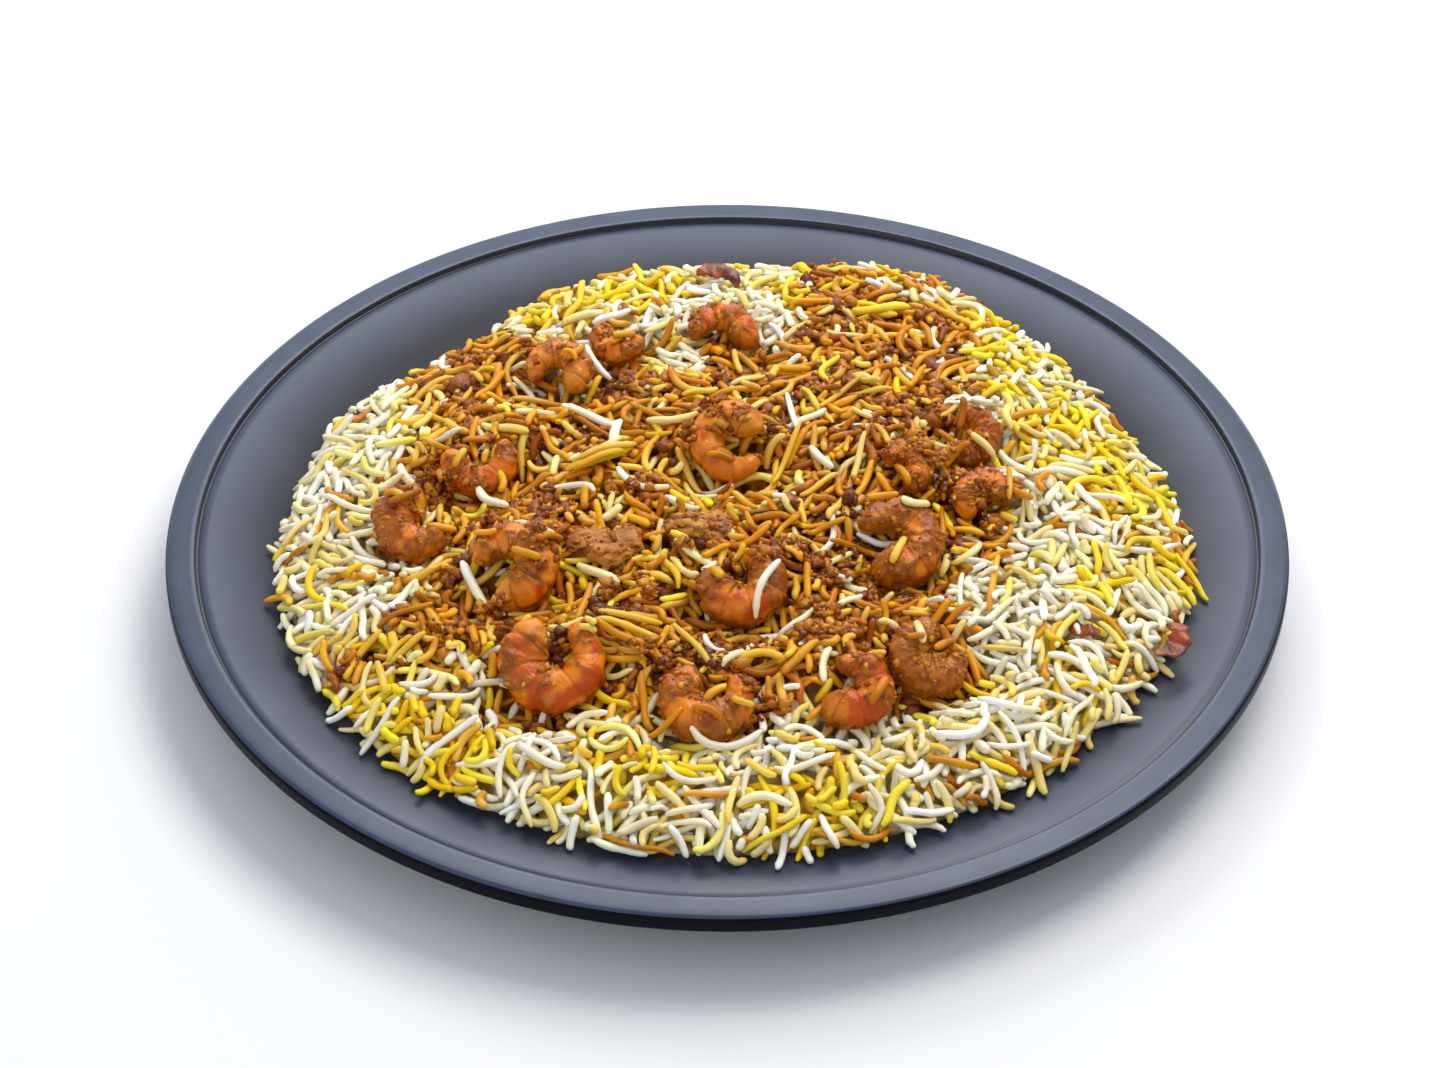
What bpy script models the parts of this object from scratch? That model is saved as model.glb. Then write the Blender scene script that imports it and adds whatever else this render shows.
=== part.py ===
"""Prawn biryani on a round dark melamine plate: a low heap of long-grain rice with curled prawns,
flakes of prawn and fried onion set into its top. Metres, +Z up, origin under the middle of the foot."""

import math

import bmesh
import bpy
from mathutils import Matrix, Vector, noise

MM = 0.001
GAP = 0.35 * MM  # clearance between pieces that touch

# The plate, turned about Z.
PLATE_STEPS = 48
RIM_Z = 22.0 * MM  # top of the lip above the table
RIM_R = 150.0 * MM  # outer edge of the lip's flat top
EDGE_RADIUS = 1.6 * MM  # the lip's rounded outer corners
EDGE_DEPTH = 5.2 * MM  # thickness of the edge seen from the side
LIP_INNER_R = 141.8 * MM  # the lip is a flat ring outside this
LIP_STEP = 1.3 * MM  # the lip stands this far above the flange
FLANGE_TILT = math.radians(4.0)
FLANGE_INNER_R = 105.0 * MM  # the flange is a plain cone outside this
FLOOR_R = 85.0 * MM  # the floor is flat inside this
WELL_DEPTH = 10.8 * MM  # from the flange's inner edge down to the floor
WELL_RADII = (85.0 * MM, 91.7 * MM, 98.3 * MM, 105.0 * MM)  # rings on the well's curved side
WALL = 3.6 * MM  # thickness of the floor and the flange
FOOT_R = 84.0 * MM  # outer radius of the foot ring
FOOT_WIDTH = 5.0 * MM
FOOT_DRAFT = 2.0 * MM  # how much wider the foot is where it meets the floor, and half that inside
LIP_DRAFT = 0.5 * MM  # the lip's inner step leans out by this
UNDER_BEND = 10.0 * MM  # the underside turns down this far inside the flange's inner edge

# The heap of rice.
HEAP_STEPS = 50
HEAP_R = 119.5 * MM  # radius where it meets the flange, before the bulges
HEAP_RISE = 16.9 * MM  # from its edge to the middle of its top
HEAP_EDGE = 2.5 * MM  # one or two grains thick where it ends
SHOULDER_POWER, SHOULDER_ROUNDING = 2.8, 0.62
RELIEF = 2.2 * MM  # unevenness of the top
RELIEF_PITCH = 12.0 * MM
TOP_SHARES = (0.0, 0.07, 0.15, 0.24, 0.34, 0.45, 0.56, 0.67, 0.77, 0.86, 0.93, 0.98, 1.0)
# The heap's outline is a circle with bulges and bays: azimuth and width in degrees, then size in mm.
OUTLINE_BULGES = (
    (273, 72, 10.2),
    (343, 19, 2.9),
    (64, 15, 9.5),
    (20, 15, -4.0),
    (136, 18, -11.8),
    (171, 13, -4.2),
    (75, 36, -5.2),
    (215, 13, 0.8),
)

# Curled prawns. Each row: name, x and y of the curl's middle and its height over the rim (mm), the azimuth
# its open side faces, its tilts about X and about Y, the turn of its curl (degrees), the curl's width across
# and the body's thickness (mm).
PRAWN_RINGS, PRAWN_SIDES = 12, 8
PRAWNS = (
    ("prawn_01", 1.6, 9.2, 19.4, -8, 34, 0, 300, 22.5, 8.8),
    ("prawn_02", -43.8, -73.4, 14.6, 82, 34, -4, 315, 27.0, 10.8),
    ("prawn_03", -56.0, -39.4, 15.6, 205, 30, -6, 280, 24.0, 9.8),
    ("prawn_04", -80.2, -13.7, 11.0, 20, 8, -10, 215, 25.0, 10.0),
    ("prawn_05", -4.8, -84.5, 11.4, 75, 16, 0, 290, 23.5, 9.4),
    ("prawn_06", 31.0, -82.0, 12.6, 160, 26, 8, 275, 20.5, 8.8),
    ("prawn_07", 51.4, -69.0, 11.8, 40, 18, 6, 285, 20.5, 9.0),
    ("prawn_08", 3.4, -46.2, 16.8, 118, 26, 0, 285, 22.5, 9.2),
    ("prawn_09", 43.1, -29.2, 15.6, 190, 18, 8, 280, 24.5, 9.6),
    ("prawn_10", -66.9, 9.7, 13.7, 100, 30, 0, 225, 21.5, 7.8),
    ("prawn_11", -46.8, 49.4, 12.4, 250, 22, 0, 265, 18.5, 7.4),
    ("prawn_12", -1.4, 64.3, 13.6, 262, 12, 4, 200, 21.0, 7.6),
    ("prawn_13", 63.6, 19.2, 13.8, 165, 26, 4, 215, 19.0, 7.2),
    ("prawn_14", 69.0, -8.4, 12.8, 300, 14, 6, 215, 18.0, 7.2),
    ("prawn_15", -29.9, 65.3, 12.0, 60, 18, -4, 230, 16.0, 6.6),
    ("prawn_16", 47.0, 2.4, 15.6, 210, 20, 4, 240, 15.5, 6.6),
)
# A prawn's body along its length: share of the length, then its width and height as shares of full thickness.
PRAWN_BODY = (
    (0.0, 0.0, 0.0),
    (0.08, 0.86, 0.86),
    (0.17, 1.0, 1.0),
    (0.5, 0.98, 0.96),
    (0.75, 0.84, 0.8),
    (0.84, 0.62, 0.58),
    (0.92, 0.42, 0.7),
    (1.0, 0.0, 0.0),
)
SEGMENTS, SEGMENT_DEPTH = 6, 0.07
SPIRAL = 0.24  # how much wider the curl is at the tail than at the head

# Flakes of prawn: name, x, y and height over the rim, length, width and thickness (mm), heading (degrees).
FLAKES = (
    ("prawn_flake_1", -7.6, -25.6, 17.6, 18.0, 11.0, 6.5, -6),
    ("prawn_flake_2", -31.7, -31.1, 17.2, 20.0, 12.0, 5.5, 12),
)
# Strips of fried onion: name, x, y and height over the rim (mm), heading, tilt and turn (degrees), then
# the width of the curl, the strip's breadth and its thickness (mm).
ONIONS = (
    ("fried_onion_1", -4.1, 92.1, 11.0, 250, 18, 150, 17.0, 5.0, 2.2),
    ("fried_onion_2", 109.6, -52.9, 6.0, 150, 8, 130, 19.0, 5.4, 2.4),
    ("fried_onion_3", 92.6, -53.9, 10.6, 60, 16, 160, 11.0, 4.0, 2.2),
)
ONION_RINGS, ONION_SIDES = 9, 6
RAGGED, RAGGED_PITCH, RAGGED_SEED = 0.22, 2.3, 40  # a flake's torn outline
BED_MARGIN = 3.0 * MM  # around a prawn the rice lies level with it this far out
BED_FADE = 11.0 * MM  # and goes over into the heap's own top this much further out
BED_DEPTH = 0.25  # the bed lies below the prawn's mid-plane by this share of its thickness
MOST_DUG, MOST_PILED = 5.5 * MM, 2.0 * MM  # how far a bed lies below or above the heap's own top at most


def interpolate(rows, x):
    """The values of a table at x, on straight lines between its rows, whose first number is x."""
    for lower, upper in zip(rows, rows[1:]):
        if x <= upper[0]:
            share = (x - lower[0]) / (upper[0] - lower[0])
            return [a + (b - a) * share for a, b in zip(lower[1:], upper[1:])]
    return list(rows[-1][1:])


def plate_top(r):
    """Height of the plate's upper face inside the lip: a flat floor, the well's curved side, the flange's cone."""
    slope = math.tan(FLANGE_TILT)
    cone = RIM_Z - LIP_STEP - (LIP_INNER_R - max(r, FLANGE_INNER_R)) * slope
    up_side = min(max((r - FLOOR_R) / (FLANGE_INNER_R - FLOOR_R), 0.0), 1.0)
    return cone - WELL_DEPTH * (1 - up_side * up_side * (3 - 2 * up_side))


def spread(first, last, count):
    """Evenly spaced numbers from first to last."""
    return [first + (last - first) * i / (count - 1) for i in range(count)]


def arc_points(centre, radius, first, last, count):
    """Points of an arc in the XZ plane, its angles in degrees."""
    angles = [math.radians(a) for a in spread(first, last, count)]
    return [(centre[0] + radius * math.cos(a), centre[1] + radius * math.sin(a)) for a in angles]


def plate_profile():
    """The plate's section, from the middle of its floor out over the lip and back under to the foot."""
    upper = [(0.0, plate_top(0.0))]
    upper += [(r, plate_top(r)) for r in WELL_RADII]
    upper += [(LIP_INNER_R, plate_top(LIP_INNER_R)), (LIP_INNER_R + LIP_DRAFT, RIM_Z)]
    edge = arc_points((RIM_R - EDGE_RADIUS, RIM_Z - EDGE_RADIUS), EDGE_RADIUS, 90, 0, 3)
    edge += arc_points((RIM_R - EDGE_RADIUS, RIM_Z - EDGE_DEPTH + EDGE_RADIUS), EDGE_RADIUS, 0, -90, 3)
    under = [(LIP_INNER_R, plate_top(LIP_INNER_R) - WALL)]
    under += [(r, plate_top(r) - WALL) for r in (FLANGE_INNER_R, FLANGE_INNER_R - UNDER_BEND)]
    foot_inner = FOOT_R - FOOT_WIDTH
    floor_under = plate_top(0.0) - WALL
    foot = [(FOOT_R + FOOT_DRAFT, floor_under), (FOOT_R, 0.0), (foot_inner, 0.0)]
    foot += [(foot_inner - FOOT_DRAFT / 2, floor_under), (0.0, floor_under)]
    return upper + edge + under + foot


def heap_radius(azimuth):
    """The heap's outline at this azimuth, in degrees."""
    radius = HEAP_R
    for centre, width, size in OUTLINE_BULGES:
        away = (azimuth - centre + 180) % 360 - 180
        radius += size * MM * math.exp(-((away / width) ** 2))
    return radius


def heap_top(share):
    """Height of the smooth heap above its edge, at this share of its radius."""
    return HEAP_RISE * max(1 - share**SHOULDER_POWER, 0.0) ** SHOULDER_ROUNDING


def new_material(name, colour, roughness):
    material = bpy.data.materials.new(name)
    material.use_nodes = True
    shader = material.node_tree.nodes["Principled BSDF"]
    shader.inputs["Base Color"].default_value = (*colour, 1.0)
    shader.inputs["Roughness"].default_value = roughness
    shader.inputs["Metallic"].default_value = 0.0
    return material


def new_object(name, mesh, collection, material=None):
    obj = bpy.data.objects.new(name, mesh)
    collection.objects.link(obj)
    if material:
        mesh.materials.clear()
        mesh.materials.append(material)
    return obj


def turned(name, profile, steps, collection, material=None):
    """A solid turned about Z from a profile that runs down its outer side."""
    mesh = bpy.data.meshes.new(name)
    edges = [(i, i + 1) for i in range(len(profile) - 1)]
    mesh.from_pydata([(x, 0.0, z) for x, z in profile], edges, [])
    obj = new_object(name, mesh, collection, material)
    screw = obj.modifiers.new("Turn", "SCREW")
    screw.steps = screw.render_steps = steps
    screw.use_merge_vertices = True
    screw.merge_threshold = 0.00005
    screw.use_smooth_shade = True
    return obj


def applied(obj):
    """The object's mesh with its modifiers applied."""
    bpy.context.view_layer.update()
    graph = bpy.context.evaluated_depsgraph_get()
    mesh = bpy.data.meshes.new_from_object(obj.evaluated_get(graph), depsgraph=graph)
    obj.modifiers.clear()
    obj.data = mesh
    return mesh


def build_plate(collection):
    material = new_material("melamine", (0.02, 0.023, 0.032), 0.35)
    return turned("plate", plate_profile(), PLATE_STEPS, collection, material)


def bedded(x, y, z):
    """The height of the rice's top at this point, drawn to the tilted bed of any prawn that lies there."""
    for _, px, py, height, heading, tilt_x, tilt_y, _, across, thickness in PRAWNS:
        place = placed(px, py, height, heading, tilt_x, tilt_y)
        away = Vector((x, y, 0.0)) - place.translation
        outside = math.hypot(away.x, away.y) - across * MM / 2 - BED_MARGIN
        near = min(max(1 - outside / BED_FADE, 0.0), 1.0)
        normal = place.to_3x3() @ Vector((0, 0, 1))
        plane = place.translation.z - (normal.x * away.x + normal.y * away.y) / normal.z
        bed = plane - BED_DEPTH * thickness * MM
        z += near * near * (3 - 2 * near) * min(max(bed - z, -MOST_DUG), MOST_PILED)
    return z


def build_heap(collection):
    """A turned mound whose points are then moved out to the heap's outline and its uneven top."""
    material = new_material("rice", (0.85, 0.66, 0.3), 0.5)
    # The turned profile carries its own row numbers as heights, top first, so each point knows its place.
    # The last rows are the base: the outline on the plate, then the rings of the plate's own well.
    radii = [share * HEAP_R for share in TOP_SHARES] + [HEAP_R] + sorted(WELL_RADII, reverse=True) + [0.0]
    rows = [(radius, -row * MM) for row, radius in enumerate(radii)]
    heap = turned("rice_heap", rows, HEAP_STEPS, collection, material)
    mesh = applied(heap)
    last_top_row = -(len(TOP_SHARES) - 0.5) * MM
    outline_row = last_top_row - 1.0 * MM
    for vertex in mesh.vertices:
        share = math.hypot(vertex.co.x, vertex.co.y) / HEAP_R
        azimuth = math.degrees(math.atan2(vertex.co.y, vertex.co.x))
        scale = heap_radius(azimuth) / HEAP_R
        x, y = vertex.co.x * scale, vertex.co.y * scale
        if vertex.co.z < outline_row:
            x, y = vertex.co.x, vertex.co.y
        base = plate_top(math.hypot(x, y)) + GAP
        if vertex.co.z < last_top_row:
            vertex.co = (x, y, base)
            continue
        edge = plate_top(heap_radius(azimuth)) + GAP + HEAP_EDGE
        relief = RELIEF * noise.noise(Vector((x, y, 0.0)) / RELIEF_PITCH)
        top = edge + heap_top(share) + relief * (1 - share**6)
        vertex.co = (x, y, max(bedded(x, y, top), base + HEAP_EDGE))
    # Flat triangles, because the pockets' cuts would split a bent four-sided face anew each time.
    shape = bmesh.new()
    shape.from_mesh(mesh)
    finished(shape, mesh)
    return heap


def finished(shape, mesh):
    """Writes the closed shape into the mesh as triangles, its faces pointing out."""
    bmesh.ops.triangulate(shape, faces=shape.faces, quad_method="FIXED")
    if shape.calc_volume(signed=True) < 0:
        bmesh.ops.reverse_faces(shape, faces=shape.faces)
    shape.to_mesh(mesh)
    shape.free()
    mesh.shade_smooth()
    return mesh


def swept(name, centre_line, half_sizes, rings, sides):
    """A UV sphere drawn out along a curved centre line. centre_line(t) gives a point and the outward
    direction in the curl's plane, and half_sizes(t) the half width there and the half height out of it."""
    mesh = bpy.data.meshes.new(name)
    shape = bmesh.new()
    bmesh.ops.create_uvsphere(shape, u_segments=sides, v_segments=rings, radius=1.0)
    for vertex in shape.verts:
        t = math.acos(max(-1.0, min(1.0, vertex.co.z))) / math.pi
        around = math.atan2(vertex.co.y, vertex.co.x)
        at_pole = abs(vertex.co.z) > 0.9999
        point, outward = centre_line(t)
        half_width, half_height = half_sizes(t)
        offset = outward * half_width * math.cos(around)
        offset.z += half_height * math.sin(around)
        if at_pole:
            offset = Vector((0, 0, 0))
        vertex.co = point + offset
    return finished(shape, mesh)


def curl_line(across, thickness, turn, spiral, overrun=0.0):
    """A curl in the XY plane, open towards +X: wider at its tail, and a little longer by overrun."""
    radius = (across - thickness) / 2

    def centre_line(t):
        angle = math.radians((360 - turn) / 2 + turn * t)
        angle += (2 * t - 1) * overrun / radius
        grown = radius * (1 + spiral * (t - 0.5))
        outward = Vector((math.cos(angle), math.sin(angle), 0.0))
        return outward * grown, outward

    return centre_line


def prawn_mesh(name, across, thickness, turn, extra=0.0):
    """A peeled prawn: thick at the head end, ridged where its segments overlap, flat and fanned at the tail."""

    def half_sizes(t):
        ridge = 1 - SEGMENT_DEPTH * math.sin(math.pi * SEGMENTS * t) ** 2
        width, height = [share * ridge * thickness / 2 for share in interpolate(PRAWN_BODY, t)]
        return width + extra, height + extra

    line = curl_line(across, thickness, turn, SPIRAL, overrun=extra)
    return swept(name, line, half_sizes, PRAWN_RINGS, PRAWN_SIDES)


def onion_mesh(name, across, breadth, thickness, turn, extra=0.0):
    """A strip of fried onion, bent across its breadth and pinched at its ends."""

    def half_sizes(t):
        full = math.sin(math.pi * min(max(t, 0.03), 0.97)) ** 0.5
        return breadth / 2 * full + extra, thickness / 2 * full + extra

    line = curl_line(across, breadth, turn, -SPIRAL, overrun=extra)
    return swept(name, line, half_sizes, ONION_RINGS, ONION_SIDES)


def flake_mesh(name, length, width, thickness, extra=0.0):
    """A torn flake of prawn: a flattened lump with a ragged outline."""
    mesh = bpy.data.meshes.new(name)
    shape = bmesh.new()
    bmesh.ops.create_icosphere(shape, subdivisions=2, radius=1.0)
    size = Vector((length / 2, width / 2, thickness / 2))
    for vertex in shape.verts:
        outward = vertex.co.copy()
        own = Vector((length, width, 0)) * RAGGED_SEED
        ragged = 1 + RAGGED * noise.noise(outward * RAGGED_PITCH + own)
        vertex.co = Vector([a * b * ragged + a * extra for a, b in zip(outward, size)])
    return finished(shape, mesh)


def placed(x, y, height, heading, tilt_x=0.0, tilt_y=0.0):
    """Where a piece lies: its middle in mm, the height taken from the rim, and its turns in degrees."""
    turn = Matrix.Rotation(math.radians(tilt_x), 4, "X") @ Matrix.Rotation(math.radians(tilt_y), 4, "Y")
    turn = turn @ Matrix.Rotation(math.radians(heading), 4, "Z")
    return Matrix.Translation((x * MM, y * MM, RIM_Z + height * MM)) @ turn


def set_into(heap, name, make_mesh, place, material, pieces, cutters):
    """Adds a piece at its place, and cuts its pocket, wider by the gap, from the heap."""
    piece = new_object(name, make_mesh(name), pieces, material)
    piece.matrix_world = place
    cutter = new_object(name + "_pocket", make_mesh(name, extra=GAP), cutters)
    cutter.matrix_world = place
    cutter.hide_render = True
    cutter.display_type = "WIRE"
    cut = heap.modifiers.new("Pocket " + name, "BOOLEAN")
    cut.operation = "DIFFERENCE"
    cut.solver = "EXACT"
    cut.object = cutter
    return piece


def build_toppings(heap, pieces, cutters):
    prawn_colour = new_material("prawn", (0.6, 0.2, 0.05), 0.45)
    onion_colour = new_material("fried_onion", (0.16, 0.03, 0.015), 0.4)
    for name, x, y, height, heading, tilt_x, tilt_y, turn, across, thickness in PRAWNS:
        place = placed(x, y, height, heading, tilt_x, tilt_y)

        def make(name, across=across, thickness=thickness, turn=turn, **pocket):
            return prawn_mesh(name, across * MM, thickness * MM, turn, **pocket)

        set_into(heap, name, make, place, prawn_colour, pieces, cutters)
    for name, x, y, height, length, width, thickness, heading in FLAKES:

        def make(name, size=(length * MM, width * MM, thickness * MM), **pocket):
            return flake_mesh(name, *size, **pocket)

        set_into(heap, name, make, placed(x, y, height, heading), prawn_colour, pieces, cutters)
    for name, x, y, height, heading, tilt, turn, across, breadth, thickness in ONIONS:

        def make(name, size=(across * MM, breadth * MM, thickness * MM), turn=turn, **pocket):
            return onion_mesh(name, *size, turn, **pocket)

        set_into(heap, name, make, placed(x, y, height, heading, tilt), onion_colour, pieces, cutters)


def main():
    for obj in list(bpy.data.objects):
        bpy.data.objects.remove(obj)
    pieces = bpy.data.collections.new("prawn_biryani")
    cutters = bpy.data.collections.new("pockets")
    for collection in (pieces, cutters):
        bpy.context.scene.collection.children.link(collection)
    build_plate(pieces)
    heap = build_heap(pieces)
    build_toppings(heap, pieces, cutters)


main()
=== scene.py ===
"""Looks of the prawn biryani: thousands of long rice grains laid grain by grain on a relief core, curled
prawns in masala, torn flakes, fried onion and crumbs, on a dark melamine plate. Lengths are in millimetres
unless said."""

import collections
import itertools
import math

import bpy
import numpy as np
from mathutils import Matrix, Vector


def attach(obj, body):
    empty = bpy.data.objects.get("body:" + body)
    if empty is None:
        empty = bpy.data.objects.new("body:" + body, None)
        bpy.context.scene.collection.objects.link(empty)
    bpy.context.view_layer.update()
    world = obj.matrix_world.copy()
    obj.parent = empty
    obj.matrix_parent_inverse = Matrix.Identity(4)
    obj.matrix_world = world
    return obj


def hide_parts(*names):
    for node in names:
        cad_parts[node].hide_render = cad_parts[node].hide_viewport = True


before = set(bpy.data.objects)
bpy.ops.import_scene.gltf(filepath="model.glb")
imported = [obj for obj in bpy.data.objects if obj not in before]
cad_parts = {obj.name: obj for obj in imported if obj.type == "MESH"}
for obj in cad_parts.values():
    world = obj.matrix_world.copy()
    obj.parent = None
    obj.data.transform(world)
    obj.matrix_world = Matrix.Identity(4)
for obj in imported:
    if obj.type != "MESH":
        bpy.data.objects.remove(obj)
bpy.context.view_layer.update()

MM = 0.001
rng = np.random.default_rng(328)

# --------
# The object's own sizes, the same as in its solids, save that the prawns are fuller at both ends.

RIM_Z, RIM_R = 22.0, 150.0
EDGE_RADIUS, EDGE_DEPTH = 1.6, 5.2
LIP_INNER_R, LIP_STEP = 141.8, 1.3
FLANGE_SLOPE = math.tan(math.radians(4.0))
FLANGE_INNER_R, FLOOR_R, WELL_DEPTH = 105.0, 85.0, 10.8
WALL, FOOT_R, FOOT_WIDTH = 3.6, 84.0, 5.0

HEAP_R, HEAP_RISE, HEAP_EDGE = 119.5, 16.9, 2.5
SHOULDER_POWER, SHOULDER_ROUNDING = 2.8, 0.62
OUTLINE_BULGES = (
    (273, 72, 10.2), (343, 19, 2.9), (64, 15, 9.5), (20, 15, -4.0), (136, 18, -11.8),
    (171, 13, -4.2), (75, 36, -5.2), (215, 13, 0.8),
)
BED_MARGIN, BED_FADE, BED_DEPTH = 3.0, 11.0, 0.25
MOST_DUG, MOST_PILED = 5.5, 2.0
SPIRAL = 0.24
SEGMENTS = 6

# Prawns: x, y, height over the rim, heading, tilts about X and Y, turn of the curl, width across, thickness;
# then how much of it masala covers, how pink its flesh is and how red.
PRAWNS = {
    "prawn_01": (1.6, 9.2, 19.4, -8, 34, 0, 300, 22.5, 8.8, 0.12, 0.25, 0.15),
    "prawn_02": (-43.8, -73.4, 14.6, 82, 34, -4, 315, 27.0, 10.8, 0.28, 0.0, 0.55),
    "prawn_03": (-56.0, -39.4, 15.6, 205, 30, -6, 280, 24.0, 9.8, 0.5, 0.1, 0.0),
    "prawn_04": (-80.2, -13.7, 11.0, 20, 8, -10, 215, 25.0, 10.0, 0.62, 0.1, 0.35),
    "prawn_05": (-4.8, -84.5, 11.4, 75, 16, 0, 290, 23.5, 9.4, 0.62, 0.1, 0.2),
    "prawn_06": (31.0, -82.0, 12.6, 160, 26, 8, 275, 20.5, 8.8, 0.45, 0.0, 0.7),
    "prawn_07": (51.4, -69.0, 11.8, 40, 18, 6, 285, 20.5, 9.0, 0.9, 0.1, 0.0),
    "prawn_08": (3.4, -46.2, 16.8, 118, 26, 0, 285, 22.5, 9.2, 0.55, 0.0, 0.5),
    "prawn_09": (43.1, -29.2, 15.6, 190, 18, 8, 280, 24.5, 9.6, 0.78, 0.0, 0.2),
    "prawn_10": (-66.9, 9.7, 13.7, 100, 30, 0, 225, 21.5, 7.8, 0.4, 0.0, 0.5),
    "prawn_11": (-46.8, 49.4, 12.4, 250, 22, 0, 265, 18.5, 7.4, 0.35, 0.6, 0.2),
    "prawn_12": (-1.4, 64.3, 13.6, 262, 12, 4, 200, 21.0, 7.6, 0.4, 0.1, 0.6),
    "prawn_13": (63.6, 19.2, 13.8, 165, 26, 4, 215, 19.0, 7.2, 0.5, 0.1, 0.7),
    "prawn_14": (69.0, -8.4, 12.8, 300, 14, 6, 215, 18.0, 7.2, 0.65, 0.0, 0.3),
    "prawn_15": (-29.9, 65.3, 12.0, 60, 18, -4, 230, 16.0, 6.6, 0.6, 0.1, 0.2),
    "prawn_16": (47.0, 2.4, 15.6, 210, 20, 4, 240, 15.5, 6.6, 0.65, 0.0, 0.3),
}
# Share of the length, width and height as shares of full thickness.
PRAWN_BODY = (
    (0.0, 0.0, 0.0), (0.03, 0.6, 0.6), (0.08, 0.88, 0.88), (0.17, 1.0, 1.0), (0.5, 0.98, 0.96),
    (0.75, 0.88, 0.84), (0.84, 0.72, 0.68), (0.92, 0.56, 0.72), (0.97, 0.44, 0.55), (1.0, 0.0, 0.0),
)
# Flakes of prawn: x, y, height over the rim, length, width, thickness, heading.
FLAKES = {
    "prawn_flake_1": (-7.6, -25.6, 17.6, 18.0, 11.0, 6.5, -6),
    "prawn_flake_2": (-31.7, -31.1, 17.2, 20.0, 12.0, 5.5, 12),
}
# Strips of fried onion: x, y, height over the rim, heading, tilt, turn, width across, breadth, thickness.
ONIONS = {
    "fried_onion_1": (-4.1, 92.1, 11.0, 250, 18, 150, 17.0, 5.0, 2.2),
    "fried_onion_2": (109.6, -52.9, 6.0, 150, 8, 130, 19.0, 5.4, 2.4),
    "fried_onion_3": (92.6, -53.9, 10.6, 60, 16, 160, 11.0, 4.0, 2.2),
}

# --------
# Where the heap is masala, white or yellow: blobs with x, y, half sizes along x and y, and turn in degrees.

MASALA = (
    (-5, -10, 78, 78, 0), (44, 62, 27, 32, 0), (-68, 46, 17, 34, 0), (48, -68, 17, 15, 0),
    (-42, -74, 20, 18, 0), (30, 103, 8, 24, 0), (57, 100, 4, 20, 0), (-80, -60, 14, 12, 20),
    (-78, 80, 7, 12, 0),
)
NOT_MASALA = (
    (-12, 62, 7, 18, 0), (14, 77, 7, 15, 0), (-30, 82, 26, 14, 0), (-42, 54, 6, 5, 0),
    (64, -46, 8, 12, 0),
)
YELLOW = (
    (-34, 94, 20, 13, 0), (-15, 112, 11, 16, 0), (-56, 84, 12, 14, 40), (12, 94, 8, 10, 0),
    (-68, -96, 15, 12, -20), (-82, -84, 8, 10, 30), (104, 12, 14, 24, 0), (88, 34, 12, 12, 0),
    (76, 22, 6, 10, 0), (112, -14, 8, 16, 0), (84, -66, 13, 11, 30), (92, -36, 12, 7, 0),
    (20, -114, 20, 6, 0), (-26, -108, 18, 8, 0), (-94, -66, 8, 12, 20), (76, 72, 12, 20, 30),
    (60, 104, 9, 8, 0),
)
WHITE = (
    (86, -26, 16, 15, 0), (-104, 10, 14, 70, 0), (-84, 58, 10, 24, -20), (70, -50, 14, 12, 0),
    (64, -94, 22, 12, 20), (-96, -44, 12, 20, 0), (-40, -98, 22, 10, 0), (94, 72, 12, 20, 30),
    (-12, 62, 8, 18, 0), (14, 77, 7, 15, 0), (4, 104, 8, 10, 0),
)


def srgb(code):
    """Linear colour of a six-digit sRGB code."""
    channels = np.array([int(code[i : i + 2], 16) / 255 for i in (0, 2, 4)])
    return np.where(channels <= 0.04045, channels / 12.92, ((channels + 0.055) / 1.055) ** 2.4)


# Grain kinds: colours they range over.
GRAIN_COLOURS = {
    "white": ("fffae8", "fbf2d6", "fffdf4", "faf0dc", "fdf2cc"),
    "pale": ("f6e6a0", "f2d878", "f8ecb8", "efd68c", "f2e060"),
    "yellow": ("f6d010", "fcd808", "f0c00c", "f4da3c", "fbe23c"),
    "golden": ("e6a414", "d88e08", "f0b824", "f4ca44", "cc8006", "e29a0c", "f2ce58"),
    "brown": ("be6c06", "a85a04", "ca7a0a", "d28a12", "964c04"),
}
KINDS = tuple(GRAIN_COLOURS)


# --------
# Noise and shapes.


def lattice(cells, seed):
    """A repeatable number from -1 to 1 for each whole-numbered cell."""
    mixed = cells[..., 0] * 374761393 + cells[..., 1] * 668265263
    mixed = mixed + cells[..., 2] * 1274126177 + seed * 974634777
    mixed = (mixed ^ (mixed >> 13)) * 1274126177
    mixed = (mixed ^ (mixed >> 16)) & 0xFFFFFF
    return mixed / 0x7FFFFF - 1.0


def noise3(points, pitch, seed=0):
    """Smooth noise from -1 to 1 at these points, an array whose last axis holds x, y and z."""
    scaled = np.asarray(points, float) / pitch
    corner = np.floor(scaled).astype(np.int64)
    share = scaled - corner
    share = share * share * (3 - 2 * share)
    total = np.zeros(scaled.shape[:-1])
    for offset in itertools.product((0, 1), repeat=3):
        wx, wy, wz = (share[..., k] if offset[k] else 1 - share[..., k] for k in range(3))
        total += wx * wy * wz * lattice(corner + np.array(offset), seed)
    return total


def noise2(x, y, pitch, seed=0):
    """The same at points of a level plane."""
    return noise3(np.stack([x, y, np.zeros_like(x)], -1), pitch, seed)


def fade(value, low, high):
    """0 at low, 1 at high, smooth between."""
    share = np.clip((value - low) / (high - low), 0, 1)
    return share * share * (3 - 2 * share)


def mix(first, second, share):
    """The first where the share is 0, the second where it is 1."""
    return first * (1 - share) + second * share


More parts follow.
